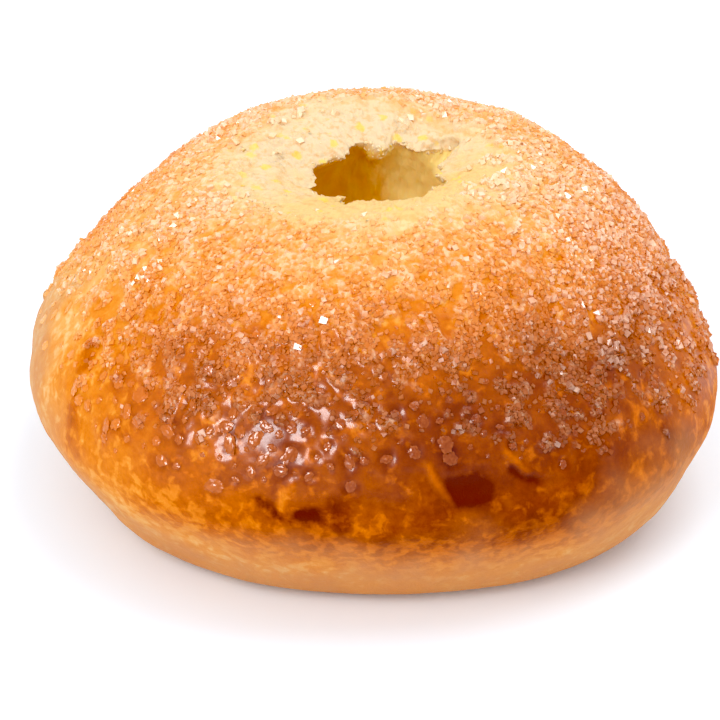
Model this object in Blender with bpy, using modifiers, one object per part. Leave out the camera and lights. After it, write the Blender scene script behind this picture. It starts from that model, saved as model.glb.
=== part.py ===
# Butter eye bun: a round sweet bun that was baked with a lump of butter pressed
# into its top. The butter sank in and melted away, and left the eye: a shallow
# dish with a torn mouth, over a smooth hollow. Coarse sugar stuck to the upper
# crust, and below it the sugar boiled up into blisters on the glaze.
# One solid, in metres, +Z up. It rests on z = 0, and its box is centred on x = y = 0.

import math
import random

import bmesh
import bpy
from mathutils import Euler, Matrix, Vector, noise

MM = 0.001

# Driving sizes of the bun as a plain turned form.
HEIGHT = 50.9 * MM           # from the base to the crest round the eye
BELLY_RADIUS = 52.2 * MM     # widest, about a third of the way up
BELLY_HEIGHT = 18.8 * MM
CREST_RADIUS = 22.1 * MM     # top of the roll round the eye
BASE_RADIUS = 38.0 * MM      # flat that it was baked on
MOUTH_RADIUS = 9.6 * MM      # torn edge between dish and hollow
MOUTH_HEIGHT = 47.8 * MM
HOLLOW_RADIUS = 13.8 * MM    # widest place under the torn edge
HOLLOW_HEIGHT = 39.5 * MM
HOLLOW_FLOOR = 27.0 * MM

# The side between those sizes: share of the way in, and share of the way up or down.
SHOULDER = ((0.63, 0.86), (0.34, 0.60), (0.08, 0.27))
UNDERSIDE = ((0.20, 0.38), (0.51, 0.76), (0.73, 0.93))
BASE_RINGS = (0.66, 0.33, 0)  # shares of the base's radius

# The eye's section beside the torn edge, each across and along the height.
UNDERCUT = Vector((2.6 * MM, -3.6 * MM))   # from the edge to the hollow's roof
DISH_FOOT = Vector((3.6 * MM, 1.4 * MM))   # from the edge to the foot of the dish's slope
CREST_ROLL = Vector((4.3 * MM, 0.5 * MM))  # from the head of that slope to the crest

# The eye is a little off the middle of the bun's own box.
EYE_OFFSET = (-0.1 * MM, -1.1 * MM)

# How finely the outline and the turn are divided.
TURN_STEPS = 72
SIDE_STEP = 2.7 * MM
EYE_STEP = 1.7 * MM
HOLLOW_STEP = 3.1 * MM
CURVE_PARTS = 32             # straight parts between two stations

# Unevenness from proving and baking: number of lobes round the bun, their share
# of the radius or the height, and the azimuth of one of them in degrees.
BELLY_LOBES = ((1, 0.014, 180), (2, 0.052, -53), (3, 0.043, -26), (4, 0.011, -31))
CREST_LOBES = ((1, 0.007, -106), (2, 0.050, 49))
HEIGHT_LOBES = ((1, 0.011, -34), (2, 0.027, -66))

# The mouth opened a little off the eye's axis and tore unevenly: azimuth and half
# width of each tear or flap in degrees, and how far outside the mean radius it goes.
MOUTH_SHIFT = Vector((1.0 * MM, 1.7 * MM))
TEARS = (
    (5, 10, -0.6 * MM), (42, 8, 5.2 * MM), (71, 8, 1.4 * MM), (86, 7, -2.0 * MM),
    (104, 8, 0.6 * MM), (137, 11, -2.0 * MM), (163, 9, 1.0 * MM), (219, 9, -3.9 * MM),
    (262, 12, 0.6 * MM), (298, 20, 2.8 * MM), (338, 12, 1.4 * MM),
)
SHIFT_REACH = 8.0 * MM       # how far outside the mouth the dish shifts with it
TEAR_REACH = 6.0 * MM        # how far out and how far down a tear still pulls the crumb
TEAR_DEPTH = 2.5 * MM
TEAR_RISE = 0.8 * MM         # ups and downs of the torn edge
TEAR_WAVES = 2.5             # how closely those follow each other round the edge

# Shallow dents and swells of the crust.
DENT_DEPTH = 0.45 * MM
DENT_SIZE = 9.0 * MM
BASE_ROLL = 5.0 * MM         # the flat base has none up to here

# Coarse sugar that still stands proud of the upper crust.
SUGAR_COUNT = 118
SUGAR_SIZE = (1.2 * MM, 2.0 * MM)
SUGAR_WIDE = (0.7, 1.0)      # its width as a share of its length
SUGAR_HIGH = (0.7, 0.9)
SUGAR_TILT = 0.5             # radians either way off lying flat
SUGAR_GAP = 4.4 * MM
SUGAR_SUNK = 0.12            # share of its size that its middle lies below the crust
SUGARED_SLOPE = 0.3          # least upward share of the crust's normal that held sugar
SUGAR_FREE = 19.1 * MM       # the eye is bare out to here

# Blisters of boiled sugar on the glaze, lower down.
BLISTER_COUNT = 26
BLISTER_LONG = (2.6 * MM, 4.2 * MM)
BLISTER_WIDE = (0.6, 0.9)    # its width as a share of its length
BLISTER_PROUD = 0.8 * MM
BLISTER_GAP = 8.0 * MM
GLAZE_BAND = (12 * MM, 30 * MM)
GLAZE_SLOPE = -0.25          # the glaze turns no further under than this share of its normal

SEED = 7
TRIES = 40                   # for each spot, before a crowded place is left as it is
CORNER_SHARE = 0.05          # keeps a spot off the corners of its face
CRUST_COLOUR = (0.66, 0.25, 0.05, 1.0)
CRUST_ROUGHNESS = 0.5
SMOOTH_ANGLE = math.radians(35)


def clear_scene():
    for obj in list(bpy.data.objects):
        bpy.data.objects.remove(obj, do_unlink=True)


def new_collection(name):
    collection = bpy.data.collections.new(name)
    bpy.context.scene.collection.children.link(collection)
    return collection


def curve_through(stations, step):
    """Points about one step apart on the smooth curve through the stations."""
    first, last = 2 * stations[0] - stations[1], 2 * stations[-1] - stations[-2]
    knots = [first] + stations + [last]
    fine = []
    for before, start, stop, after in zip(knots, knots[1:], knots[2:], knots[3:]):
        for index in range(CURVE_PARTS):
            t = index / CURVE_PARTS
            fine.append(0.5 * (
                2 * start + (stop - before) * t
                + (2 * before - 5 * start + 4 * stop - after) * t ** 2
                + (3 * start - before - 3 * stop + after) * t ** 3
            ))
    return spaced(fine + [stations[-1]], step)


def spaced(line, step):
    """Points at equal steps, of about this length, along a line of points."""
    lengths = [0.0]
    for start, stop in zip(line, line[1:]):
        lengths.append(lengths[-1] + (stop - start).length)
    count = round(lengths[-1] / step)
    points, place = [], 0
    for index in range(count + 1):
        goal = lengths[-1] * index / count
        while place < len(line) - 2 and lengths[place + 1] < goal:
            place += 1
        share = (goal - lengths[place]) / (lengths[place + 1] - lengths[place])
        points.append(line[place].lerp(line[place + 1], share))
    return points


def hollow_stations():
    """Radius and height from the middle of the hollow's floor up to the torn edge."""
    depth = HOLLOW_HEIGHT - HOLLOW_FLOOR
    bowl = [
        Vector((HOLLOW_RADIUS * math.sin(turn), HOLLOW_HEIGHT - depth * math.cos(turn)))
        for turn in (0, math.radians(25), math.radians(50), math.radians(72), math.radians(90))
    ]
    edge = Vector((MOUTH_RADIUS, MOUTH_HEIGHT))
    return bowl + [edge + UNDERCUT, edge]


def outer_stations():
    """Radius and height from the torn edge over the crest and the belly to the base."""
    edge, base = Vector((MOUTH_RADIUS, MOUTH_HEIGHT)), Vector((BASE_RADIUS, 0))
    crest, belly = Vector((CREST_RADIUS, HEIGHT)), Vector((BELLY_RADIUS, BELLY_HEIGHT))
    dish = [edge, edge + DISH_FOOT, crest - CREST_ROLL, crest]
    return dish + between(belly, crest, SHOULDER) + [belly] + between(belly, base, UNDERSIDE) + [base]


def between(start, stop, shares):
    """Stations that go in and up or down from the start by their two shares."""
    reach = stop - start
    return [start + Vector((reach.x * across, reach.y * along)) for across, along in shares]


def outline():
    """The half section, from the hollow's floor out and down to the base's middle."""
    outer = curve_through(outer_stations(), EYE_STEP / 4)
    crest = max(range(len(outer)), key=lambda index: outer[index].y)
    points = curve_through(hollow_stations(), HOLLOW_STEP)[:-1]
    points += spaced(outer[:crest + 1], EYE_STEP)[:-1]
    points += spaced(outer[crest:], SIDE_STEP)
    return points + [Vector((BASE_RADIUS * share, 0)) for share in BASE_RINGS]


def lobed(lobes, azimuth):
    return sum(share * math.cos(waves * (azimuth - math.radians(turn))) for waves, share, turn in lobes)


def torn(azimuth):
    """How far the mouth's edge lies outside its mean radius at this azimuth."""
    reach = 0.0
    for turn, half_width, out in TEARS:
        apart = math.remainder(azimuth - math.radians(turn), math.tau)
        reach += out * math.exp(-(apart / math.radians(half_width)) ** 2)
    return reach


def shaped(point):
    """Moves a point of the plain turned form to its place on the uneven bun."""
    radius, azimuth = math.hypot(point.x, point.y), math.atan2(point.y, point.x)
    around = Vector((math.cos(azimuth), math.sin(azimuth)))
    rise = min(max(point.z / HEIGHT, 0), 1)
    upper = rise * rise * (3 - 2 * rise)
    out, up = radius - MOUTH_RADIUS, point.z - MOUTH_HEIGHT
    shift = upper * math.exp(-(max(out, 0) / SHIFT_REACH) ** 2)
    edge = math.exp(-(out / TEAR_REACH) ** 2 - (up / TEAR_DEPTH) ** 2)
    swell = lobed(BELLY_LOBES, azimuth) * (1 - upper) + lobed(CREST_LOBES, azimuth) * upper
    spot = around * (radius * (1 + swell) + torn(azimuth) * edge) + MOUTH_SHIFT * shift
    height = point.z * (1 + rise * lobed(HEIGHT_LOBES, azimuth))
    height += TEAR_RISE * edge * noise.noise((around * TEAR_WAVES).to_3d())
    return Vector((*spot, height))


def turned_form():
    """The half section turned about the eye's axis, as a mesh."""
    points = [(point.x, 0, point.y) for point in outline()]
    mesh = bpy.data.meshes.new("half section")
    mesh.from_pydata(points, [(index, index + 1) for index in range(len(points) - 1)], [])
    turned = bpy.data.objects.new("half section", mesh)
    bpy.context.scene.collection.objects.link(turned)
    screw = turned.modifiers.new("turn", "SCREW")
    screw.steps = screw.render_steps = TURN_STEPS
    screw.use_merge_vertices = True
    screw.merge_threshold = 0.00001
    form = evaluated_mesh(turned)
    bpy.data.objects.remove(turned, do_unlink=True)
    return form


def evaluated_mesh(obj):
    graph = bpy.context.evaluated_depsgraph_get()
    graph.update()
    return bpy.data.meshes.new_from_object(obj.evaluated_get(graph))


def bake_uneven(mesh):
    """Gives the turned form its lobes, tears, dents and swells."""
    for vertex in mesh.vertices:
        vertex.co = shaped(vertex.co)
    mesh.update()
    moves = []
    for vertex in mesh.vertices:
        fade = min(max(vertex.co.z / BASE_ROLL, 0), 1)
        depth = DENT_DEPTH * fade * noise.noise(vertex.co / DENT_SIZE)
        moves.append(vertex.normal * depth)
    for vertex, move in zip(mesh.vertices, moves):
        vertex.co += move
    mesh.transform(Matrix.Translation((*EYE_OFFSET, 0)))
    mesh.update()


def crust_spots(mesh, count, gap, wanted, rng):
    """Spots on the mesh at least a gap apart, each with its normal."""
    faces = [face for face in mesh.polygons if wanted(face)]
    areas = [face.area for face in faces]
    spots = []
    for _ in range(TRIES * count):
        if len(spots) == count:
            break
        face = rng.choices(faces, areas)[0]
        corners = [mesh.vertices[index].co for index in face.vertices]
        shares = [rng.random() + CORNER_SHARE for _ in corners]
        spot = sum((corner * share for corner, share in zip(corners, shares)), Vector()) / sum(shares)
        if all((spot - other).length > gap for other, _ in spots):
            spots.append((spot, face.normal.copy()))
    return spots


def on_upper_crust(face):
    from_eye = face.center - Vector((*EYE_OFFSET, 0))
    return face.normal.z > SUGARED_SLOPE and from_eye.xy.length > SUGAR_FREE


def on_lower_glaze(face):
    return GLAZE_BAND[0] < face.center.z < GLAZE_BAND[1] and face.normal.z > GLAZE_SLOPE


def stuck_on(mesh, collection, name, spot, normal, spin, size, sink):
    """Places a small piece flat on the crust at a spot, turned about its normal."""
    piece = bpy.data.objects.new(name, mesh.copy())
    across = normal.to_track_quat("Z", "Y").to_matrix().to_4x4()
    place = Matrix.Translation(spot - normal * sink)
    piece.data.transform(place @ across @ spin @ Matrix.Diagonal((*size, 1)))
    collection.objects.link(piece)


def primitive(build):
    """A small unit mesh made by one of the mesh tools."""
    shape, mesh = bmesh.new(), bpy.data.meshes.new("unit")
    build(shape)
    shape.to_mesh(mesh)
    shape.free()
    return mesh


def add_sugar(bun, collection, rng):
    crystal = primitive(lambda shape: bmesh.ops.create_cube(shape, size=1))
    for spot, normal in crust_spots(bun, SUGAR_COUNT, SUGAR_GAP, on_upper_crust, rng):
        size = rng.uniform(*SUGAR_SIZE)
        tilts = [rng.uniform(-SUGAR_TILT, SUGAR_TILT) for _ in range(2)]
        spin = Euler((*tilts, rng.uniform(0, math.tau))).to_matrix().to_4x4()
        sides = (size, size * rng.uniform(*SUGAR_WIDE), size * rng.uniform(*SUGAR_HIGH))
        stuck_on(crystal, collection, "sugar", spot, normal, spin, sides, size * SUGAR_SUNK)


def add_blisters(bun, collection, rng):
    bubble = primitive(lambda shape: bmesh.ops.create_icosphere(shape, subdivisions=1, radius=0.5))
    for spot, normal in crust_spots(bun, BLISTER_COUNT, BLISTER_GAP, on_lower_glaze, rng):
        size = rng.uniform(*BLISTER_LONG)
        spin = Matrix.Rotation(rng.uniform(0, math.tau), 4, "Z")
        sides = (size, size * rng.uniform(*BLISTER_WIDE), 3 * BLISTER_PROUD)
        stuck_on(bubble, collection, "blister", spot, normal, spin, sides, BLISTER_PROUD / 2)


def fuse(bun, collection):
    """Joins all that is stuck on to the bun as one solid."""
    union = bun.modifiers.new("stuck on", "BOOLEAN")
    union.operation = "UNION"
    union.operand_type = "COLLECTION"
    union.collection = collection
    union.solver = "EXACT"
    joined = evaluated_mesh(bun)
    bun.modifiers.clear()
    bun.data = joined
    for obj in list(collection.objects):
        bpy.data.objects.remove(obj, do_unlink=True)
    bpy.data.collections.remove(collection)


def crust_material():
    material = bpy.data.materials.new("golden crust")
    material.use_nodes = True
    shader = material.node_tree.nodes["Principled BSDF"]
    shader.inputs["Base Color"].default_value = CRUST_COLOUR
    shader.inputs["Roughness"].default_value = CRUST_ROUGHNESS
    shader.inputs["Metallic"].default_value = 0
    return material


def main():
    clear_scene()
    parts, stuck = new_collection("butter eye bun"), new_collection("stuck on")
    form = turned_form()
    bake_uneven(form)
    bun = bpy.data.objects.new("bun", form)
    parts.objects.link(bun)
    rng = random.Random(SEED)
    add_sugar(form, stuck, rng)
    add_blisters(form, stuck, rng)
    fuse(bun, stuck)
    bun.data.name = "bun"
    bun.data.materials.clear()
    bun.data.materials.append(crust_material())
    bun.data.shade_smooth()
    bun.data.set_sharp_from_angle(angle=SMOOTH_ANGLE)


main()
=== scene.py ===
import math

import bmesh
import bpy
import numpy as np
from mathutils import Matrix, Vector, noise


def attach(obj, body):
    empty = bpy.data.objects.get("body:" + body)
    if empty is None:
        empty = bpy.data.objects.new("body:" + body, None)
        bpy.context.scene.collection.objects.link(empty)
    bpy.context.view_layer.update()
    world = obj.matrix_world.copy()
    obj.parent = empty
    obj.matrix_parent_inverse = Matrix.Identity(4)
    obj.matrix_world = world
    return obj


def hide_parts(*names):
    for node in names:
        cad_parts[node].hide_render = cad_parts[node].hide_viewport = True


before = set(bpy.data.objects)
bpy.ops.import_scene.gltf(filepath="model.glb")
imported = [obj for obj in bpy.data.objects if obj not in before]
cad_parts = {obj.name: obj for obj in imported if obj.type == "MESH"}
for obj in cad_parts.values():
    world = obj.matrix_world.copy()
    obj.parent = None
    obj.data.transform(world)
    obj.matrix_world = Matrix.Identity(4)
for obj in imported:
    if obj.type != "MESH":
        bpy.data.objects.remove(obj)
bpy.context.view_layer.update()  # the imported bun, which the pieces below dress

mm = 0.001  # lengths in the settings are in millimetres


# The bun as it was shaped, proved and baked. These sizes are the solid's own.
bun = {
    "height": 50.9,  # from the base to the crest round the eye
    "bellyRadius": 52.2,
    "bellyHeight": 18.8,
    "crestRadius": 22.1,
    "baseRadius": 38.0,
    "mouthRadius": 9.6,  # torn edge between dish and hollow
    "mouthHeight": 47.8,
    "hollowRadius": 13.8,
    "hollowHeight": 39.5,
    "hollowFloor": 27.0,
    "hollowTurns": (0, 25, 50, 72, 90),  # degrees up the bowl of the hollow
    "shoulder": ((0.63, 0.86), (0.34, 0.60), (0.08, 0.27)),
    "underside": ((0.20, 0.38), (0.51, 0.76), (0.73, 0.93)),
    "undercut": (2.6, -3.6),
    "dishFoot": (3.6, 1.4),
    "crestRoll": (4.3, 0.5),
    "eyeOffset": (-0.1, -1.1),
    "bellyLobes": ((1, 0.014, 180), (2, 0.052, -53), (3, 0.043, -26), (4, 0.011, -31)),
    "crestLobes": ((1, 0.007, -106), (2, 0.050, 49)),
    "heightLobes": ((1, 0.011, -34), (2, 0.027, -66)),
    "mouthShift": (1.0, 1.7),
    "tears": (  # azimuth and half width in degrees, and how far out
        (5, 10, -0.6), (42, 8, 5.2), (71, 8, 1.4), (86, 7, -2.0), (104, 8, 0.6), (137, 11, -2.0),
        (163, 9, 1.0), (219, 9, -3.9), (262, 12, 0.6), (298, 20, 2.8), (338, 12, 1.4),
    ),
    "shiftReach": 8.0,
    "tearReach": 6.0,
    "tearDepth": 2.5,
    "tearRise": 0.8,
    "tearWaves": 2.5,
    "dentDepth": 0.45,
    "dentSize": 9.0,
    "baseRoll": 5.0,
}

# How finely the surface is divided, and its relief in layers of depth and width.
skin = {
    "columns": 800,
    "hollowStep": 0.8,
    "eyeStep": 0.36,
    "sideStep": 0.42,
    "baseRings": (0.97, 0.9, 0.75, 0.5, 0.25),
    "toothReach": 1.1,  # how far out the small teeth of the torn edge go
    "toothSizes": ((0.80, 2.2), (0.65, 1.0), (0.40, 0.5)),
    "tearCalm": 0.12,  # share of the teeth that each millimetre of a tear takes away
    "crumbRelief": ((0.26, 2.6), (0.20, 1.2), (0.10, 0.7)),  # bubbles in the bare crumb
    "hollowCalm": 0.75,  # share of them that the butter filled in the hollow
    "crustRelief": ((0.16, 5.0), (0.06, 1.9)),
    "glazeRelief": ((0.16, 6.5), (0.15, 2.6), (0.05, 1.0)),
    "underSugar": 0.60,  # how much deeper the crust lies where sugar covers it
    "fullCover": 0.6,  # the cover from which it lies that deep
    "sugarLayer": 0.34,  # how far the sugar's melted layer stands out from there
    "sugarRelief": ((0.20, 1.6), (0.12, 0.9)),
    "sandSizes": ((0.9, 0.6), (0.5, 1.3)),  # share and size of the finest grains
    "sand": (0.14, 0.12),  # how far they stand out, in the sugar and in the torn crumb
    "wrinkle": (0.04, 0.9, 3.0),  # depth, width and length of the fine wrinkles low on the flanks
    "wrinkleEnd": (26, 34),  # heights over which they fade
    "hollowRidge": (1.3, 88, 9, 0.5),  # depth, azimuth, half width and grain of the ridge inside
    "ridgeGrain": 1.2,
    "ridgeFoot": (30, 36),  # heights over which it rises
    "hollowGrain": ((0.42, 1.1), (0.252, 0.55)),  # the torn crumb right of it
    "grainSide": (20, 5),  # azimuth of its middle and half width of its border
}


def curveThrough(stations, parts=32):
    stations = np.array(stations, float)
    ends = 2 * stations[[0, -1]] - stations[[1, -2]]
    knots = np.vstack([ends[:1], stations, ends[1:]])
    t = (np.arange(parts) / parts)[:, None]
    fine = []
    for before, start, stop, after in zip(knots, knots[1:], knots[2:], knots[3:]):
        fine.append(0.5 * (
            2 * start + (stop - before) * t
            + (2 * before - 5 * start + 4 * stop - after) * t ** 2
            + (3 * start - before - 3 * stop + after) * t ** 3
        ))
    return np.vstack(fine + [stations[-1:]])


def spaced(line, step):
    lengths = np.append(0, np.cumsum(np.linalg.norm(np.diff(line, axis=0), axis=1)))
    goals = np.linspace(0, lengths[-1], round(lengths[-1] / step) + 1)
    return np.stack([np.interp(goals, lengths, line[:, axis]) for axis in (0, 1)], 1)


def between(start, stop, shares):
    return [start + (stop - start) * np.array(share) for share in shares]


def halfSection():
    # radius and height from the hollow's floor, over the crest, to the middle of the base
    edge = np.array([bun["mouthRadius"], bun["mouthHeight"]])
    crest = np.array([bun["crestRadius"], bun["height"]])
    belly = np.array([bun["bellyRadius"], bun["bellyHeight"]])
    base = np.array([bun["baseRadius"], 0])
    depth = bun["hollowHeight"] - bun["hollowFloor"]
    bowl = [
        (bun["hollowRadius"] * math.sin(turn), bun["hollowHeight"] - depth * math.cos(turn))
        for turn in map(math.radians, bun["hollowTurns"])
    ]
    hollow = spaced(curveThrough(bowl + [edge + bun["undercut"], edge]), skin["hollowStep"])
    outer = curveThrough(
        [edge, edge + bun["dishFoot"], crest - bun["crestRoll"], crest]
        + between(belly, crest, bun["shoulder"]) + [belly] + between(belly, base, bun["underside"]) + [base]
    )
    top = outer[:, 1].argmax()
    dish = spaced(outer[:top + 1], skin["eyeStep"])
    side = spaced(outer[top:], skin["sideStep"])
    rings = [base * share for share in skin["baseRings"]]
    points = np.vstack([hollow[1:-1], dish[:-1], side, rings])
    return points, len(hollow) - 2


def apartFrom(turn, azimuth):
    return (azimuth - math.radians(turn) + math.pi) % math.tau - math.pi


def lobed(lobes, azimuth):
    return sum(share * np.cos(waves * (azimuth - math.radians(turn))) for waves, share, turn in lobes)


def hump(turn, halfWidth, azimuth):
    return np.exp(-(apartFrom(turn, azimuth) / math.radians(halfWidth)) ** 2)


def humps(rows, azimuth):
    return sum(more * hump(turn, halfWidth, azimuth) for turn, halfWidth, more in rows)


def noiseAt(points, size):
    return np.array([noise.noise(point) for point in (points / size).tolist()])


def layered(points, layers):
    return sum(strength * noiseAt(points, size) for strength, size in layers)


def clumped(points, middle, strength, size, least):
    # where small things gather
    return np.clip(middle + strength * noiseAt(points, size), least, 1)


def smooth(low, high, value):
    share = np.clip((value - low) / (high - low), 0, 1)
    return share * share * (3 - 2 * share)


def teeth(azimuth):
    # the small jags of torn crumb along the mouth
    ring = np.stack([np.cos(azimuth), np.sin(azimuth), 0 * azimuth], 1) * bun["mouthRadius"]
    return layered(ring, skin["toothSizes"])


def shaped(radius, azimuth, height):
    around = np.stack([np.cos(azimuth), np.sin(azimuth)], 1)
    rise = np.clip(height / bun["height"], 0, 1)
    upper = smooth(0, 1, rise)
    out, up = radius - bun["mouthRadius"], height - bun["mouthHeight"]
    shift = upper * np.exp(-(np.maximum(out, 0) / bun["shiftReach"]) ** 2)
    edge = np.exp(-(out / bun["tearReach"]) ** 2 - (up / bun["tearDepth"]) ** 2)
    tooth = np.exp(-(out ** 2 + up ** 2) / skin["toothReach"] ** 2)
    swell = lobed(bun["bellyLobes"], azimuth) * (1 - upper) + lobed(bun["crestLobes"], azimuth) * upper
    tear = humps(bun["tears"], azimuth)
    jag = teeth(azimuth) * tooth * (1 - skin["tearCalm"] * np.abs(tear))
    reach = radius * (1 + swell) + tear * edge + jag
    spot = around * reach[:, None] + np.array(bun["mouthShift"]) * shift[:, None]
    waves = np.column_stack([around * bun["tearWaves"], 0 * azimuth])
    height = height * (1 + rise * lobed(bun["heightLobes"], azimuth))
    return np.column_stack([spot, height + bun["tearRise"] * edge * noiseAt(waves, 1)])


def quadSkin(rows, columns):
    # quads of a turned form, and the two fans that close its poles
    grid = np.arange(rows * columns).reshape(rows, columns)
    turned = np.roll(grid, -1, 1)
    quads = np.stack([grid[:-1], grid[1:], turned[1:], turned[:-1]], -1).reshape(-1, 4)
    floor = np.stack([grid[0], turned[0], np.full(columns, rows * columns)], 1)
    base = np.stack([turned[-1], grid[-1], np.full(columns, rows * columns + 1)], 1)
    return quads, np.vstack([floor, base])


def unit(vectors):
    return vectors / np.maximum(np.linalg.norm(vectors, axis=-1, keepdims=True), 1e-9)


def faceCross(points, quads):
    corners = points[quads]
    return np.cross(corners[:, 2] - corners[:, 0], corners[:, 3] - corners[:, 1]) / 2


def normalsOf(points, quads, fans):
    total = np.zeros_like(points)
    cross = faceCross(points, quads)
    for corner in range(4):
        np.add.at(total, quads[:, corner], cross)
    corners = points[fans]
    cross = np.cross(corners[:, 1] - corners[:, 0], corners[:, 2] - corners[:, 0]) / 2
    for corner in range(3):
        np.add.at(total, fans[:, corner], cross)
    return unit(total)


# Scorched spots, folds and pale scars of the crust: path as azimuth and height,
# half width, how far it stands out, and what it adds to the browning.
scars = (
    (((-76.1, 24.5), (-73.3, 24.3)), 2.1, -0.40, 0.42),
    (((-76.4, 23.0), (-72.6, 23.0)), 0.9, 0.15, 0.20),
    (((-81.0, 28.0), (-80.0, 26.0), (-78.6, 24.2), (-77.4, 23.0)), 0.6, 0.30, -0.26),
    (((-101.0, 21.1), (-99.0, 21.3)), 1.0, -0.40, 0.62),
    (((-107.4, 22.6), (-104.4, 21.0), (-102.4, 20.8)), 0.9, -0.20, 0.36),
    (((-102.6, 25.6), (-104.0, 24.0), (-104.3, 22.3), (-103.4, 21.0)), 0.6, 0.30, -0.30),
    (((-95.6, 22.4), (-95.2, 20.4)), 1.6, -0.05, 0.26),
    (((-68.0, 28.6), (-66.4, 27.0), (-65.0, 25.2)), 0.7, 0.30, -0.22),
    (((-67.0, 26.2), (-65.4, 24.8), (-63.4, 24.0)), 0.6, -0.30, 0.28),
    (((-149.5, 33.0), (-148.0, 31.0)), 1.6, 0.10, 0.30),
    (((-146.0, 24.5), (-145.0, 20.5)), 1.8, 0.05, 0.24),
    (((-37.0, 23.0), (-33.0, 20.5)), 1.5, 0.00, 0.22),
)
scarEdge = {"ragged": 0.45, "raggedSize": 1.3, "hardness": 2.2}


def scarField(azimuth, points):
    # how far each scar lifts the crust, and what it adds to the browning
    lift, scorch = np.zeros(len(points)), np.zeros(len(points))
    radius = np.hypot(points[:, 0], points[:, 1])
    for path, halfWidth, rise, browned in scars:
        nearest = np.full(len(points), np.inf)
        ragged = scarEdge["ragged"] * halfWidth * noiseAt(points, scarEdge["raggedSize"])
        for (turnA, heightA), (turnB, heightB) in zip(path, path[1:]):
            spot = np.stack([apartFrom(turnA, azimuth) * radius, points[:, 2] - heightA], 1)
            run = np.array([math.radians(turnB - turnA) * bun["bellyRadius"], heightB - heightA])
            share = np.clip(spot @ run / (run @ run), 0, 1)
            nearest = np.minimum(nearest, np.linalg.norm(spot - share[:, None] * run, axis=1))

        lift += rise * np.exp(-(nearest / halfWidth) ** 2)
        nearest = np.maximum(nearest + ragged, 0)
        scorch += browned * np.exp(-(nearest / halfWidth) ** scarEdge["hardness"])
    return lift, scorch


def addSand(surface):
    # how far each of the finest grains stands out, which is also how pale it is:
    # the sugar's own paleness, with painted light on the tips and painted shade between them
    surface["frost"] = np.clip(0.5 + layered(surface["points"], skin["sandSizes"]), 0, 1)


def makeSurface():
    section, hollowRows = halfSection()
    columns = skin["columns"]
    azimuth = np.tile(np.arange(columns) * math.tau / columns, len(section))
    radius, height = (np.append(np.repeat(section[:, axis], columns), pole) for axis, pole in
                      ((0, (0, 0)), (1, (bun["hollowFloor"], 0))))
    azimuth = np.append(azimuth, (0, 0))
    quads, fans = quadSkin(len(section), columns)
    points = shaped(radius, azimuth, height)
    normals = normalsOf(points, quads, fans)
    free = np.clip(points[:, 2] / bun["baseRoll"], 0, 1)
    points = points + normals * (bun["dentDepth"] * free * noiseAt(points, bun["dentSize"]))[:, None]
    inHollow = np.zeros(len(points))
    inHollow[:hollowRows * columns] = 1
    inHollow[-2] = 1
    return {
        "points": points, "normals": normalsOf(points, quads, fans), "quads": quads, "fans": fans,
        "mouth": hollowRows * columns + np.arange(columns),
        "azimuth": np.arctan2(points[:, 1], points[:, 0]), "free": free, "inHollow": inHollow,
    }


# Where the sugar stuck. It ends higher over the front, where the glaze shows.
sugaring = {
    "edge": 26.4,
    "edgeRise": ((-88, 36, 9.8), (-160, 28, 9.0)),
    "wander": ((4.0, 9.0),),
    "cover": ((0.30, -4, 1), (0.34, 0, 9), (0.32, 7, 16)),  # share, and heights over the edge
    "least": 0.01,
    "lumps": ((0.65, 3.0), (0.35, 1.5)),
    "lumpSpan": 0.62,
    "lumpEdge": 0.09,
}


def sugarEdge(azimuth):
    return sugaring["edge"] + humps(sugaring["edgeRise"], azimuth)


def sugarCover(points, azimuth, crumb):
    # how much sugar stuck, and where that is enough to lie on the crust
    above = points[:, 2] - sugarEdge(azimuth) + layered(points, sugaring["wander"])
    cover = sum(share * smooth(start, full, above) for share, start, full in sugaring["cover"])
    cover *= 1 - crumb
    lumps = layered(points, sugaring["lumps"]) / sugaring["lumpSpan"]
    edge = sugaring["lumpEdge"]
    return cover, smooth(-edge, edge, cover - 0.5 + lumps) * (cover > sugaring["least"])


# Pale flecks where the glaze ran thin: most low down, few in the middle of the front.
flecking = {
    "share": 0.30,
    "lowMore": 0.45,
    "lowHeights": (12, 27),
    "lowWander": ((3.0, 8.0),),
    "plainLess": 0.30,
    "plain": (-72, 27, 16, 8),  # azimuth, height, half width and half height of the plain place
    "plainRadius": 50,
    "patches": ((0.35, 6.0),),
    "foot": (2, 12),
}


def fleckShare(points, azimuth):
    height = points[:, 2]
    low = 1 - smooth(*flecking["lowHeights"], height + layered(points, flecking["lowWander"]))
    turn, level, halfWidth, halfHeight = flecking["plain"]
    across = apartFrom(turn, azimuth) * flecking["plainRadius"] / halfWidth
    plain = np.exp(-(across ** 2 + ((height - level) / halfHeight) ** 2))
    share = flecking["share"] + flecking["lowMore"] * low - flecking["plainLess"] * plain
    return np.clip(share + layered(points, flecking["patches"]), 0, 1) * smooth(*flecking["foot"], height)


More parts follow.
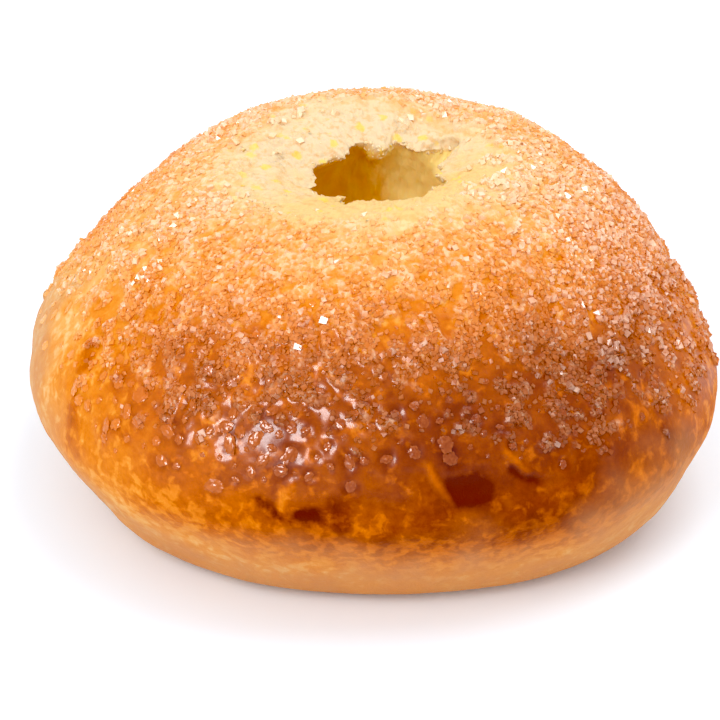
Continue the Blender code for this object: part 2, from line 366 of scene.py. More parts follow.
# Where the crust browned. Heights are above the base, rows round the bun are azimuth,
# half width and how much more, and layers of noise are strength and size.
browning = {
    "bare": 0.05,  # 0 is bare crumb, 1 is the darkest glaze
    "pale": (0.45, 0.28),  # low down and at the crown
    "paleSpan": (33, 50),
    "flank": 0.40,
    # the paler left flank (-174) and the darker right front (-30) are partly painted light and shade, partly
    # real browning
    "peaks": (
        (-86, 50, 0.54), (-30, 45, 0.28), (-126, 18, 0.08), (-52, 20, 0.06), (95, 65, 0.35),
        (-174, 22, -0.18),
    ),
    "lowEdge": 9.0,  # where the egg glaze starts, at the front
    "lowFade": (-5, 6),
    "lowEdgeRise": ((180, 60, 9.0), (0, 60, 3.5)),  # higher on the flanks
    "topEdge": (36.0, 54.0),
    "topFall": ((55, 80, 6.0),),  # where the crown stays pale lower down
    "patches": ((0.09, 15.0), (0.07, 5.0)),
    "glazeFrom": (0.50, 0.80),  # the browning from which the glaze shines
    "glazeHeights": (19, 29),
    "glazeWander": ((4.0, 5.0),),
    "scorchDull": (3, 0.5),  # how fast a scar loses its shine, and how much at most
    "dullHeights": (4, 18),
    "dullRims": ((-172, 26, 21.0), (-38, 18, 8.0), (-92, 36, 3.0)),  # where dull dough reaches higher
    "dullWander": ((4.0, 6.0),),
    "crumbEdge": (13.5, 25.0),  # from the eye's axis
    "crumbIn": 1.0,
    "crumbWander": ((2.6, 7.0), (3.4, 2.0)),
}


def brownSurface(surface):
    points, azimuth = surface["points"], surface["azimuth"]
    height, radius = points[:, 2], np.hypot(points[:, 0], points[:, 1])
    peak = browning["flank"] + humps(browning["peaks"], azimuth)
    low = browning["lowEdge"] + humps(browning["lowEdgeRise"], azimuth)
    below, above = browning["lowFade"]
    fallen = height + humps(browning["topFall"], azimuth)
    band = smooth(low + below, low + above, height) * np.interp(fallen, browning["topEdge"], (1, 0))
    palest = np.interp(height, browning["paleSpan"], browning["pale"])
    browned = palest + (peak - palest) * band + layered(points, browning["patches"])
    reach = radius + layered(points, browning["crumbWander"]) - browning["crumbIn"]
    crumb = (1 - smooth(*browning["crumbEdge"], reach)) * (height > bun["hollowFloor"])
    crumb = np.maximum(crumb, surface["inHollow"])
    lift, scorch = scarField(azimuth, points)
    cover, sugared = sugarCover(points, azimuth, crumb)
    high = smooth(*browning["glazeHeights"], height + layered(points, browning["glazeWander"]))
    glazed = smooth(*browning["glazeFrom"], browned) * high * (1 - crumb)
    fast, most = browning["scorchDull"]
    glazed *= 1 - np.clip(fast * np.abs(scorch), 0, most)
    dullHeight = height - humps(browning["dullRims"], azimuth) + layered(points, browning["dullWander"])
    surface.update({
        "bake": browned * (1 - crumb) + browning["bare"] * crumb + scorch,
        "crumb": crumb, "lift": lift, "scorch": scorch, "cover": cover, "sugared": sugared,
        "gloss": glazed * (1 - sugared), "dull": 1 - smooth(*browning["dullHeights"], dullHeight),
        "fleck": fleckShare(points, azimuth),
    })


def reliefOf(surface):
    points, azimuth, inHollow = surface["points"], surface["azimuth"], surface["inHollow"]
    crumb, gloss, sugared, height = surface["crumb"], surface["gloss"], surface["sugared"], points[:, 2]
    rough, wavy, satin, grainy = (
        layered(points, skin[label + "Relief"]) for label in ("crumb", "crust", "glaze", "sugar")
    )
    depth, width, length = skin["wrinkle"]
    along = np.stack([azimuth * bun["bellyRadius"] / width, height / length, 0 * azimuth], 1)
    low = 1 - smooth(*skin["wrinkleEnd"], height)
    wrinkled = depth * noiseAt(along, 1) * (1 - sugared) * (1 - gloss) * low
    lift = rough * crumb * (1 - skin["hollowCalm"] * inHollow)
    lift += (wavy * (1 - gloss) + satin * gloss + wrinkled) * (1 - crumb)
    buried = skin["underSugar"] * smooth(0, skin["fullCover"], surface["cover"])
    lift += (skin["sugarLayer"] + grainy) * sugared - buried
    sugarSand, crumbSand = skin["sand"]
    lift += (sugarSand * sugared + crumbSand * crumb * (1 - inHollow)) * (2 * surface["frost"] - 1)
    depth, turn, halfWidth, grain = skin["hollowRidge"]
    ridge = hump(turn, halfWidth, azimuth) * inHollow * smooth(*skin["ridgeFoot"], height)
    lift += ridge * (depth + grain * noiseAt(points, skin["ridgeGrain"]))
    turn, border = skin["grainSide"]
    ripped = smooth(-border, border, bun["hollowRadius"] * np.cos(azimuth - math.radians(turn))) * inHollow
    lift += ripped * layered(points, skin["hollowGrain"])
    return (lift + surface["lift"]) * surface["free"]


def scatter(surface, density, count, gap, dice):
    # spots on the skin, at least a gap apart, as faces and shares of their corners
    quads, points = surface["quads"], surface["points"]
    tries = 3 * count
    weights = np.linalg.norm(faceCross(points, quads), axis=1) * density[quads].mean(1)
    chosen = dice.choice(len(quads), tries, p=weights / weights.sum())
    u, v = dice.random((2, tries))
    shares = np.stack([(1 - u) * (1 - v), u * (1 - v), u * v, (1 - u) * v], 1)
    spots = (points[quads[chosen]] * shares[..., None]).sum(1)
    cells, kept = {}, []
    steps = [(i, j, k) for i in (-1, 0, 1) for j in (-1, 0, 1) for k in (-1, 0, 1)]
    for index, (spot, (i, j, k)) in enumerate(zip(spots, np.floor(spots / gap).astype(int).tolist())):
        near = [cells[i + a, j + b, k + c] for a, b, c in steps if (i + a, j + b, k + c) in cells]
        if near and min(np.linalg.norm(np.array(near) - spot, axis=1)) < gap:
            continue
        cells[i, j, k] = spot
        kept.append(index)
        if len(kept) == count:
            break
    return chosen[kept], shares[kept]


def crowded(surface, crowds, radius):
    # rows are azimuth, height, spread and strength
    azimuth, height = surface["azimuth"], surface["points"][:, 2]
    return sum(
        strength * np.exp(-(np.hypot(apartFrom(turn, azimuth) * radius, height - level) / spread) ** 2)
        for turn, level, spread, strength in crowds
    )


def at(spots, surface, values):
    faces, shares = spots
    corners = values[surface["quads"][faces]]
    return (corners * (shares[..., None] if corners.ndim == 3 else shares)).sum(1)


def readShape(shape):
    points = np.array([vertex.co[:] for vertex in shape.verts])
    faces = np.array([[vertex.index for vertex in face.verts] for face in shape.faces])
    shape.free()
    return points, faces


def ball(subdivisions):
    shape = bmesh.new()
    bmesh.ops.create_icosphere(shape, subdivisions=subdivisions, radius=0.5)
    return readShape(shape)


def crystalShape():
    shape = bmesh.new()
    bmesh.ops.create_cube(shape, size=1)
    bmesh.ops.triangulate(shape, faces=shape.faces)
    return readShape(shape)


def anywhere(dice):
    # a far place in the noise, so that shapes differ
    return dice.uniform(-50, 50, 3)


def sizesOf(lengths, look, dice):
    widths = lengths * dice.uniform(*look["width"], len(lengths))
    heights = lengths * dice.uniform(*look["height"], len(lengths))
    return np.stack([lengths, widths, heights], 1)


def swarm(shapes, faces, spots, surface, sizes, sink, tilt, dice):
    # many small bodies standing on the skin, joined as one mesh
    places, normals = (at(spots, surface, surface[label]) for label in ("points", "normals"))
    normals = unit(normals)
    axis = unit(normals + tilt * dice.normal(size=normals.shape))
    side = unit(np.cross(axis, dice.normal(size=normals.shape)))
    axes = np.stack([side, np.cross(axis, side), axis], 1)
    chosen = dice.integers(len(shapes), size=len(places))
    bodies = shapes[chosen] * sizes[:, None]
    feet = places - normals * sink[:, None]
    points = np.einsum("nki,nij->nkj", bodies, axes) + feet[:, None]
    joined = faces[None] + (np.arange(len(places)) * shapes.shape[1])[:, None, None]
    return points.reshape(-1, 3), joined.reshape(-1, faces.shape[1]), chosen


def markTorn(mesh, ring):
    # the torn edge is sharp: the shading breaks there
    ends = np.zeros(2 * len(mesh.edges), int)
    mesh.edges.foreach_get("vertices", ends)
    onRing = ((ends >= ring[0]) & (ends <= ring[-1])).reshape(-1, 2).all(1)
    mesh.attributes.new("sharp_edge", "BOOLEAN", "EDGE").data.foreach_set("value", onRing)


def makePiece(name, points, faces, material, values, smoothed=True):
    offset = np.append(bun["eyeOffset"], 0)
    mesh = bpy.data.meshes.new(name)
    mesh.from_pydata(((points + offset) * mm).tolist(), [], faces)
    for label, value in values.items():
        mesh.attributes.new(label, "FLOAT", "POINT").data.foreach_set("value", value.astype(np.float32))
    mesh.polygons.foreach_set("use_smooth", [smoothed] * len(mesh.polygons))
    mesh.materials.append(material)
    piece = bpy.data.objects.new(name, mesh)
    bpy.context.scene.collection.objects.link(piece)
    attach(piece, "root")
    print(f"{name}: {len(mesh.polygons)} faces")
    return piece


def linear(hexColour):
    # sRGB as typed, to the linear colour that a shader takes
    shares = [int(hexColour[place:place + 2], 16) / 255 for place in (1, 3, 5)]
    return [
        share / 12.92 if share <= 0.04045 else ((share + 0.055) / 1.055) ** 2.4 for share in shares
    ] + [1.0]


def addNode(tree, kind, settings={}, links={}):
    # a link comes from a socket, or from the first one that a node has in use
    node = tree.nodes.new("ShaderNode" + kind)
    for name, value in settings.items():
        if isinstance(name, str) and hasattr(node, name):
            setattr(node, name, value)
        else:
            node.inputs[name].default_value = value
    for name, source in links.items():
        if isinstance(source, bpy.types.Node):
            source = next(socket for socket in source.outputs if socket.enabled)
        tree.links.new(source, node.inputs[name])
    return node


def newMaterial(name):
    material = bpy.data.materials.new(name)
    material.use_nodes = True
    material.node_tree.nodes.clear()
    return material, material.node_tree


def fillRamp(ramp, stops, span=1.0):
    elements = ramp.color_ramp.elements
    while len(elements) < len(stops):
        elements.new(1.0)
    for element, (place, hexColour) in zip(elements, stops):
        element.position = place / span
        element.color = linear(hexColour)


# The dough from bare crumb to scorched, along the browning scale, and its patterns.
crustLook = {
    "span": 1.4,  # browning at the ramp's far end
    "stops": (
        (0.00, "#EAD09C"), (0.15, "#EBBE80"), (0.30, "#E8A758"), (0.45, "#E38F30"), (0.60, "#D77A18"),
        (0.75, "#C2620A"), (0.90, "#A44C02"), (1.05, "#883602"), (1.25, "#641C08"),
    ),
    "crumb": ("#E3CAA2", "#E8C27E"),
    "butterSpot": "#F0CC50",
    "crumbSpeck": "#DCA868",
    # the hollow's dark and pale colours are partly painted shade and light; its glint colour is a painted
    # highlight
    "hollow": ("#E4AA20", "#FFE698"),
    "hollowPaintedGlint": "#FFE08C",
    "dull": ("#C88A5A", 0.40, 0.60),  # flour-dry dough low down, the least of it and how it varies
    "sugarTint": "#FFD6B0",
    "frosted": (0.00, 0.60),  # least and most that the melted sugar hides of the crust
    "mottle": 5.0,  # width of the patches, specks, grain, flecks, butter spots and sugar grains
    "speck": 1.1,
    "grain": 0.45,
    "fleck": 1.8,
    "butterCell": 3.4,
    "sugarGrain": 0.60,
    "mottled": 0.35,  # how far the patches and the specks change the browning
    "speckled": 0.30,
    "fleckPale": 0.22,  # how much less browned a fleck is
    "fleckReach": 0.24,  # how much further flecks spread where the glaze ran thin
    "soaked": 0.8,  # how patchily the butter soaked in
    "butterRagged": -0.5,
    "coat": 0.35,  # how much of the clear egg glaze shows
    "sugarDip": -1.3,  # how deep the melted sugar sinks between its grains
    "bump": 0.20,
}


def crustMaterial():
    # Egg-washed sweet dough: a clear glaze over brown crust, dull bare crumb round the eye
    # and butter-soaked crumb in the hollow, whose dark and pale sides are partly painted shade and light.
    material, tree = newMaterial("eggGlazedSweetDough")
    look = crustLook
    bake, crumb, gloss, tone, fleck, frost, sugared, dull, inHollow = (
        addNode(tree, "Attribute", {"attribute_name": label}).outputs["Fac"]
        for label in ("bake", "crumb", "gloss", "tone", "fleck", "frost", "sugared", "dull", "inHollow")
    )
    place = addNode(tree, "TexCoord").outputs["Object"]
    mottle, speck, grain = (
        addNode(tree, "TexNoise", {"Scale": 1 / (look[label] * mm), "Detail": detail, "Roughness": 0.6},
                {"Vector": place})
        for label, detail in (("mottle", 2), ("speck", 3), ("grain", 2))
    )

    # flecks, patches and specks change the browning, and the ramp turns it to a colour
    ragged = addNode(tree, "TexNoise", {"Scale": 1 / (look["fleck"] * mm), "Detail": 3, "Distortion": 0.3},
                     {"Vector": place})
    thin = addNode(tree, "Math", {"operation": "MULTIPLY_ADD", 1: look["fleckReach"]}, {0: fleck, 2: ragged})
    pale = addNode(tree, "MapRange", {"From Min": 0.60, "From Max": 0.76, "To Max": -look["fleckPale"]},
                   {"Value": thin})
    shiftA = addNode(tree, "Math", {"operation": "MULTIPLY_ADD", 1: look["mottled"]}, {0: mottle, 2: pale})
    centre = -(look["mottled"] + look["speckled"]) / 2
    shiftB = addNode(tree, "Math", {"operation": "MULTIPLY_ADD", 1: look["speckled"], 2: centre}, {0: speck})
    shift = addNode(tree, "Math", {"operation": "ADD"}, {0: shiftA, 1: shiftB})
    uneven = addNode(tree, "Math", {"operation": "ADD"}, {0: bake, 1: shift})
    level = addNode(tree, "Math", {"operation": "DIVIDE", 1: look["span"]}, {0: uneven})
    crust = addNode(tree, "ValToRGB", {}, {"Fac": level})
    fillRamp(crust, look["stops"], look["span"])

    # each grain of the melted sugar has its own paleness, more on the raised fine grains:
    # partly its own colour, partly painted light on the tips and painted shade between them
    grains = addNode(tree, "TexVoronoi", {"Scale": 1 / (look["sugarGrain"] * mm)}, {"Vector": place})
    chance = addNode(tree, "SeparateColor", {}, {"Color": grains.outputs["Color"]})
    paleness = addNode(tree, "Math", {"operation": "MULTIPLY"}, {0: chance, 1: frost})
    least, most = look["frosted"]
    veil = addNode(tree, "MapRange", {"From Max": 0.6, "To Min": least, "To Max": most}, {"Value": paleness})
    frosted = addNode(tree, "Math", {"operation": "MULTIPLY"}, {0: veil, 1: sugared})

    # it lies over the crust and over the dry dough low on the flanks
    dryColour, least, more = look["dull"]
    patchy = addNode(tree, "Math", {"operation": "MULTIPLY_ADD", 1: more, 2: least}, {0: mottle})
    dusty = addNode(tree, "Math", {"operation": "MULTIPLY"}, {0: dull, 1: patchy})
    for share, over in ((dusty, dryColour), (frosted, look["sugarTint"])):
        crust = addNode(tree, "Mix", {"data_type": "RGBA", 7: linear(over)}, {0: share, 6: crust})

    # bare crumb with specks and butter spots, and the hollow, whose dark and pale sides are partly painted
    # shade and light, with its painted glints
    soaked = addNode(tree, "Math", {"operation": "MULTIPLY_ADD", 1: look["soaked"]}, {0: mottle, 2: tone})
    butter = addNode(tree, "MapRange", {"From Min": 0.55, "From Max": 1.25}, {"Value": soaked})
    # the greyer crumb is partly painted shade and partly drier crumb; the yellower crumb is buttered
    dryShadedCrumb, buttered = map(linear, look["crumb"])
    bare = addNode(tree, "Mix", {"data_type": "RGBA", 6: dryShadedCrumb, 7: buttered}, {0: butter})
    cells = addNode(tree, "TexVoronoi", {"Scale": 1 / (look["butterCell"] * mm)}, {"Vector": place})
    near = addNode(tree, "Math", {"operation": "MULTIPLY_ADD", 1: look["butterRagged"]}, {0: speck, 2: cells})
    spots = addNode(tree, "MapRange", {"From Min": 0.02, "From Max": -0.10, "To Max": 0.7}, {"Value": near})
    crisp = addNode(tree, "MapRange", {"From Min": 0.50, "From Max": 0.66, "To Max": 0.6}, {"Value": speck})
    for share, over in ((crisp, look["crumbSpeck"]), (spots, look["butterSpot"])):
        bare = addNode(tree, "Mix", {"data_type": "RGBA", 7: linear(over)}, {0: share, 6: bare})
    # the hollow's dark and pale sides: partly painted shade and light, partly butter soaking
    dark, pale = map(linear, look["hollow"])
    hollow = addNode(tree, "Mix", {"data_type": "RGBA", 6: dark, 7: pale}, {0: tone})
    # painted glints: pale specks on the hollow's pale side stand in for glints of light
    grainy = addNode(tree, "MapRange", {"From Min": 0.48, "From Max": 0.66, "To Max": 0.5}, {"Value": grain})
    glinting = addNode(tree, "Math", {"operation": "MULTIPLY"}, {0: grainy, 1: tone})
    glints = addNode(tree, "Mix", {"data_type": "RGBA", 7: linear(look["hollowPaintedGlint"])},
                     {0: glinting, 6: hollow})
    soft = addNode(tree, "Mix", {"data_type": "RGBA"}, {0: inHollow, 6: bare, 7: glints})
    colour = addNode(tree, "Mix", {"data_type": "RGBA"}, {0: crumb, 6: crust, 7: soft})

    # shine, the clear coat and the fine relief
    shiny = addNode(tree, "Math", {"operation": "MAXIMUM"}, {0: gloss, 1: sugared})
    roughness = addNode(tree, "MapRange", {"To Min": 0.62, "To Max": 0.34}, {"Value": shiny})
    coat = addNode(tree, "Math", {"operation": "MULTIPLY", 1: look["coat"]}, {0: gloss})
    sunken = addNode(tree, "Math", {"operation": "MULTIPLY"}, {0: grains, 1: sugared})
    bumpA = addNode(tree, "Math", {"operation": "ADD"}, {0: grain, 1: speck})
    bumpB = addNode(tree, "Math", {"operation": "MULTIPLY_ADD", 1: look["sugarDip"]}, {0: sunken, 2: bumpA})
    bumpBy = addNode(tree, "MapRange", {"To Min": 0.55, "To Max": 0.14}, {"Value": gloss})
    bump = addNode(tree, "Bump", {"Distance": look["bump"] * mm}, {"Height": bumpB, "Strength": bumpBy})
    shader = addNode(tree, "BsdfPrincipled", {
        "IOR": 1.45, "Specular IOR Level": 0.10, "Coat Roughness": 0.16, "Coat IOR": 1.5,
        "Subsurface Weight": 0.2, "Subsurface Scale": 1.0,
        "Subsurface Radius": (1.8 * mm, 1.0 * mm, 0.5 * mm),
    }, {"Base Color": colour, "Roughness": roughness, "Coat Weight": coat, "Normal": bump})
    addNode(tree, "OutputMaterial", {}, {"Surface": shader})
    return material


def sugarMaterial(name, look):
    # Sugar that melted or browned on the crust: opaque and glossy, as brown as the crust
    # under it, with paler corners that are painted glints.
    material, tree = newMaterial(name)
    bake, shade = (
        addNode(tree, "Attribute", {"attribute_name": label}).outputs["Fac"] for label in ("bake", "shade")
    )
    place = addNode(tree, "TexCoord").outputs["Object"]
    grain = addNode(tree, "TexNoise", {"Scale": 1 / (look["frost"] * mm), "Detail": 2}, {"Vector": place})
    level = addNode(tree, "Math", {"operation": "DIVIDE", 1: crustLook["span"]}, {0: bake})
    ramp = addNode(tree, "ValToRGB", {}, {"Fac": level})
    fillRamp(ramp, crustLook["stops"], crustLook["span"])
    least, most = look["tinted"]
    clear = addNode(tree, "MapRange", {"To Min": least, "To Max": most}, {"Value": shade})
    colour = addNode(tree, "Mix", {"data_type": "RGBA", 7: linear(look["tint"])}, {0: clear, 6: ramp})
    least, most = look["roughness"]
    rough = addNode(tree, "MapRange", {"To Min": least, "To Max": most}, {"Value": grain})
    shader = addNode(tree, "BsdfPrincipled", {
        "IOR": 1.54, "Specular IOR Level": look["shine"], "Subsurface Weight": look["milky"],
        "Subsurface Scale": 1.0, "Subsurface Radius": (0.25 * mm, 0.18 * mm, 0.12 * mm),
    }, {"Base Color": colour, "Roughness": rough})
    addNode(tree, "OutputMaterial", {}, {"Surface": shader})
    return material


# Blisters of burnt sugar on the glaze. Reaches and rims are shares of a blister's length.
blisters = {
    "count": 300,
    "gap": 1.9,
    "length": (1.0, 3.4),
    "fewLong": 1.8,  # the higher, the fewer long ones
    "width": (0.6, 1),
    "thick": (0.45, 0.70),
    "small": (0.55, -58, -84),  # their size at the right, and the azimuths over which it grows
    "smallHigh": (0.35, 31, 36),  # how much smaller they get over these heights
    "lobe": 0.36,  # size of the burnt grains in it
    "grains": (1.1, -1.7),  # how full a grain is at its middle, and how fast it falls off
    "swollen": (0.78, 0.32, 0.05),  # radius between the grains, at a grain, and by chance
    "variants": 14,
    "sink": 0.06,
    "tilt": 0.08,
    # a blister's tips are paler and its creases darker, painted light and shade with the burnt sugar's own
    # colour; pale corners are painted glints
    "tonesAndGlints": (0.5, 0.1, 0.5, 3),  # of its grains, of the whole, of each corner, and how few are pale
    "swell": 0.20,  # how far the glaze rises round a blister
    "swellMost": 1.5,  # times that, where several meet
    "swellFrom": 2,  # length of the blisters that have all of it
    "rim": (0.75, 0.35),
    "burnt": 0.11,  # how much browner the glaze is there
    "burntReach": 0.62,
    "burntFrom": 1.4,  # length of the blisters that have it
    "browner": 0.05,
    "stray": (0.20, -11, -5, 1, 6),  # how many lie loose, and heights over the sugar's edge
    "lowest": (23, 27),
    "crumbMost": 0.1,  # none on bare crumb or on scars
    "scorchMost": 0.06,
    "crowds": ((-111, 30, 6.0, 3.0), (-72, 32, 4.0, 0.8), (-120, 33, 7.0, 1.6), (-55, 31, 6.0, 1.5),
               (-40, 29, 6.0, 1.2), (-140, 30, 6.0, 1.8), (-95, 36, 9.0, 1.5)),
    "material": {"tint": "#FF9A50", "tinted": (0.00, 0.26), "roughness": (0.10, 0.30), "frost": 0.3,
                 "shine": 0.35, "milky": 0.0},
}


def blisterDensity(surface):
    height = surface["points"][:, 2]
    over = height - sugarEdge(surface["azimuth"])
    strength, start, full, fade, gone = blisters["stray"]
    density = strength * smooth(start, full, over) * (1 - smooth(fade, gone, over))
    density += crowded(surface, blisters["crowds"], bun["bellyRadius"])
    density *= surface["crumb"] < blisters["crumbMost"]
    density *= np.abs(surface["scorch"]) < blisters["scorchMost"]
    return density * smooth(*blisters["lowest"], height)


def placeBlisters(surface, dice):
    # where the blisters are, how long, and the rim of glaze that swells up round each,
    # with a burnt line between
    spots = scatter(surface, blisterDensity(surface), blisters["count"], blisters["gap"], dice)
    short, long = blisters["length"]
    lengths = short + (long - short) * dice.random(len(spots[0])) ** blisters["fewLong"]
    places = at(spots, surface, surface["points"])
    least, small, full = blisters["small"]
    lengths *= least + (1 - least) * smooth(small, full, np.degrees(at(spots, surface, surface["azimuth"])))
    less, start, stop = blisters["smallHigh"]
    lengths *= 1 - less * smooth(start, stop, places[:, 2])
    swell, bake = np.zeros(len(surface["points"])), surface["bake"].copy()
    rim, halfRim = blisters["rim"]
    for place, length in zip(places, lengths):
        apart = np.linalg.norm(surface["points"] - place, axis=1) / length
        risen = blisters["swell"] * min(length / blisters["swellFrom"], 1)
        swell += risen * np.exp(-((apart - rim) / halfRim) ** 2)
        if length > blisters["burntFrom"]:
            surface["bake"] += blisters["burnt"] * np.exp(-(apart / blisters["burntReach"]) ** 4)
    surface["lift"] += np.minimum(swell, blisters["swellMost"] * blisters["swell"])
    return spots, lengths, at(spots, surface, bake) + blisters["browner"]


def blisterShapes(points, dice):
    # balls swollen round scattered centres, as burnt grains stand out of a blister
    full, fall = blisters["grains"]
    plain, raised, chance = blisters["swollen"]
    shapes, tips = [], []
    for _ in range(blisters["variants"]):
        spots = (points + anywhere(dice)) / blisters["lobe"]
        near = np.array([noise.voronoi(spot)[0][0] for spot in spots.tolist()])
        tip = np.clip(full + fall * near, 0, 1)
        radius = plain + raised * tip + chance * dice.normal(size=len(points))
        shapes.append(points * radius[:, None])
        tips.append(tip)
    return np.array(shapes), np.array(tips)


def makeBlisters(surface, spots, lengths, bake, dice):
    points, faces = ball(3)
    shapes, tips = blisterShapes(points, dice)
    count = len(lengths)
    thick = np.interp(lengths, blisters["length"], blisters["thick"])
    sizes = np.stack([lengths, lengths * dice.uniform(*blisters["width"], count), thick], 1)
    sink, tilt = blisters["sink"] * thick, blisters["tilt"]
    body, joined, chosen = swarm(shapes, faces, spots, surface, sizes, sink, tilt, dice)
    # paler tips and darker creases are partly painted light and shade; the random pale corners are painted
    # glints
    ofGrains, ofWhole, ofGlintCorners, rare = blisters["tonesAndGlints"]
    shade = ofGrains * tips[chosen] + ofWhole * dice.random((count, 1))
    shade += ofGlintCorners * dice.random(shade.shape) ** rare
    values = {"bake": np.repeat(bake, len(points)), "shade": shade.ravel()}
    material = sugarMaterial("blisteredBurntSugar", blisters["material"])
    makePiece("sugarBlisters", body, joined.tolist(), material, values, False)


# Sugar that half melted into the crust, in cubes with uneven corners. Widths and heights are
# shares of the length, and tones and glints are of the whole, of each corner (paler corners
# are painted glints), and how few are pale.
toasted = {
    "count": 15000,
    "gap": 0.45,
    "length": (0.40, 0.90),
    "width": (0.7, 1),
    "height": (0.45, 0.7),
    "uneven": (-0.4, 0.15),
    "variants": 60,
    "sink": 0.12,
    "tilt": 0.4,
    "tonesAndGlints": (0.3, 0.7, 3),
    "thinCover": 0.12,  # how many lie where the cover is thin
    "clumps": (0.45, 1.3, 3.2, 0.05),
    "crown": (0.9, 41, 49),  # how few stay at the crown, and over which heights
    "material": {"tint": "#FFC48E", "tinted": (0.02, 0.46), "roughness": (0.2, 0.5), "frost": 0.4,
                 "shine": 0.25, "milky": 0.0},
}

# Grains that stayed clear, thickest on the two upper flanks.
crystals = {
    "count": 3200,
    "gap": 0.6,
    "length": (0.5, 1.15),
    "width": (0.65, 1),
    "height": (0.6, 0.9),
    "uneven": (-0.35, 0.15),
    "variants": 40,
    "sink": 0.05,
    "tilt": 1.0,
    "tonesAndGlints": (0.4, 0.6, 1.5),
    "everywhere": 0.07,
    "clumps": (0.5, 1.2, 4.0, 0.1),
    "crowds": ((-20, 43, 11.0, 3.0), (-4, 46, 12.0, 3.2), (-158, 46, 6.5, 2.0), (-172, 41, 7.0, 0.4),
               (60, 46, 14.0, 1.2), (130, 45, 14.0, 1.2)),
    "crowdRadius": 40,
    "material": {"tint": "#FFE2C6", "tinted": (0.05, 0.90), "roughness": (0.08, 0.4), "frost": 0.5,
                 "shine": 0.5, "milky": 0.15},
}
sugarPaleness = ((0.5, 0.9), (1.0, 0.5))  # browning of the crust, and how pale sugar stays on it


def palenessOf(bake):
    return np.interp(bake, *sugarPaleness)


def makeGrains(name, finish, look, density, surface, dice):
    spots = scatter(surface, density, look["count"], look["gap"], dice)
    points, faces = crystalShape()
    shapes = np.array([
        points * (1 + dice.uniform(*look["uneven"], points.shape)) for _ in range(look["variants"])
    ])
    count, repeats = len(spots[0]), len(points)
    sizes = sizesOf(dice.uniform(*look["length"], count), look, dice)
    sink, tilt = look["sink"] * sizes[:, 2], look["tilt"]
    body, joined, _ = swarm(shapes, faces, spots, surface, sizes, sink, tilt, dice)
    bake = np.repeat(at(spots, surface, surface["bake"]), repeats)
    # the paler corners are painted glints on the grains
    ofWhole, ofGlintCorners, rare = look["tonesAndGlints"]
    shade = ofWhole * np.repeat(dice.random(count), repeats)
    shade += ofGlintCorners * dice.random(count * repeats) ** rare
    values = {"bake": bake, "shade": shade * palenessOf(bake)}
    makePiece(name, body, joined.tolist(), sugarMaterial(finish, look["material"]), values, False)


def makeToasted(surface, dice):
    few, start, stop = toasted["crown"]
    density = (surface["sugared"] + toasted["thinCover"] * surface["cover"]) * (1 - surface["crumb"]) ** 2
    density *= clumped(surface["points"], *toasted["clumps"])
    density *= 1 - few * smooth(start, stop, surface["points"][:, 2])
    makeGrains("toastedSugar", "toastedSugar", toasted, density, surface, dice)


def makeCrystals(surface, dice):
    density = crystals["everywhere"] * (1 - surface["crumb"])
    density += crowded(surface, crystals["crowds"], crystals["crowdRadius"])
    density *= surface["sugared"] * clumped(surface["points"], *crystals["clumps"])
    makeGrains("clearSugar", "clearGranulatedSugar", crystals, density, surface, dice)


# Crumbs that the tearing left on the rim of the eye and round it.
flakes = {
    "count": 300,
    "gap": 0.35,
    "length": (0.3, 0.8),
    "fewLong": 2,
    "width": (0.5, 1),
    "height": (0.3, 0.6),
    "lumps": ((1.3, 0.4),),
    "variants": 20,
    "sink": 0.05,
    "tilt": 0.4,
    "crowding": (0.02, 6.0),  # how many lie on the bare crumb, and on the torn edge
    "clumps": (0.5, 1.0, 4.0, 0.05),
    "pore": 0.35,
    "stops": ((0.0, "#EAC88C"), (0.55, "#F0D6A8"), (0.92, "#F6E4C2"), (1.0, "#EFCB4E")),
}


def crumbMaterial():
    # Torn crumb of soft dough: pale and dull, with fine pores that break up the light.
    material, tree = newMaterial("tornSoftCrumb")
    shade = addNode(tree, "Attribute", {"attribute_name": "shade"}).outputs["Fac"]
    place = addNode(tree, "TexCoord").outputs["Object"]
    pores = addNode(tree, "TexNoise", {"Scale": 1 / (flakes["pore"] * mm), "Detail": 3}, {"Vector": place})
    bump = addNode(tree, "Bump", {"Strength": 0.5, "Distance": 0.15 * mm}, {"Height": pores})
    ramp = addNode(tree, "ValToRGB", {}, {"Fac": shade})
    fillRamp(ramp, flakes["stops"])
    shader = addNode(tree, "BsdfPrincipled", {"Roughness": 0.8, "Specular IOR Level": 0.1},
                     {"Base Color": ramp, "Normal": bump})
    addNode(tree, "OutputMaterial", {}, {"Surface": shader})
    return material


def makeFlakes(surface, dice):
    points, faces = ball(2)
    edge = np.zeros(len(surface["points"]))
    edge[surface["mouth"]] = 1
    onCrumb, onEdge = flakes["crowding"]
    density = surface["crumb"] * (1 - surface["inHollow"]) * (onCrumb + onEdge * edge)
    density *= clumped(surface["points"], *flakes["clumps"])
    spots = scatter(surface, density, flakes["count"], flakes["gap"], dice)
    shapes = np.array([
        points * (1 + layered(points + anywhere(dice), flakes["lumps"]))[:, None]
        for _ in range(flakes["variants"])
    ])
    short, long = flakes["length"]
    lengths = short + (long - short) * dice.random(len(spots[0])) ** flakes["fewLong"]
    sizes = sizesOf(lengths, flakes, dice)
    sink, tilt = flakes["sink"] * lengths, flakes["tilt"]
    body, joined, _ = swarm(shapes, faces, spots, surface, sizes, sink, tilt, dice)
    values = {"shade": np.repeat(dice.random(len(lengths)), len(points))}
    makePiece("crumbFlakes", body, joined.tolist(), crumbMaterial(), values)


